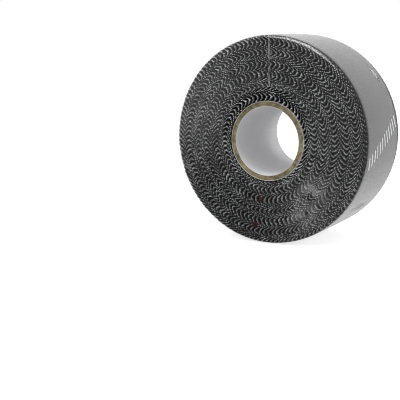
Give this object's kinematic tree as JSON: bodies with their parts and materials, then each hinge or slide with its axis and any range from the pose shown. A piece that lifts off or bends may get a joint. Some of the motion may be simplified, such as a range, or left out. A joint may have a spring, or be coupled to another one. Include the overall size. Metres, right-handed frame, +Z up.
{
  "type": "grip tape roll",
  "caption": "Roll of black pinked-edge cloth grip tape wound on a paperboard core and held in a clear printed shrink film that is open over the middle of each face.",
  "frame": {"origin": "on the core's axis, halfway between the roll's two faces", "axes": "+Y along the roll's axis from the front face to the back face, +Z up with the roll standing on its rim, +X to the right as seen from the front"},
  "size_m": [0.0801, 0.0382, 0.0801],
  "materials": {
    "white_paper": "matte",
    "core_board": "matte",
    "black_cloth": "matte",
    "clear_film": "gloss",
    "white_ink": "satin"
  },
  "bodies": {
    "root": {"core_bore_liner": "white_paper", "core_board_ply_1": "core_board", "core_board_ply_2": "core_board", "core_board_ply_3": "core_board", "core_outer_wrap": "white_paper", "tape_winding": "black_cloth", "tape_outer_turn": "black_cloth", "shrink_sleeve": "clear_film", "sleeve_seam": "clear_film", "sleeve_print": "white_ink"}
  },
  "joints": []
}
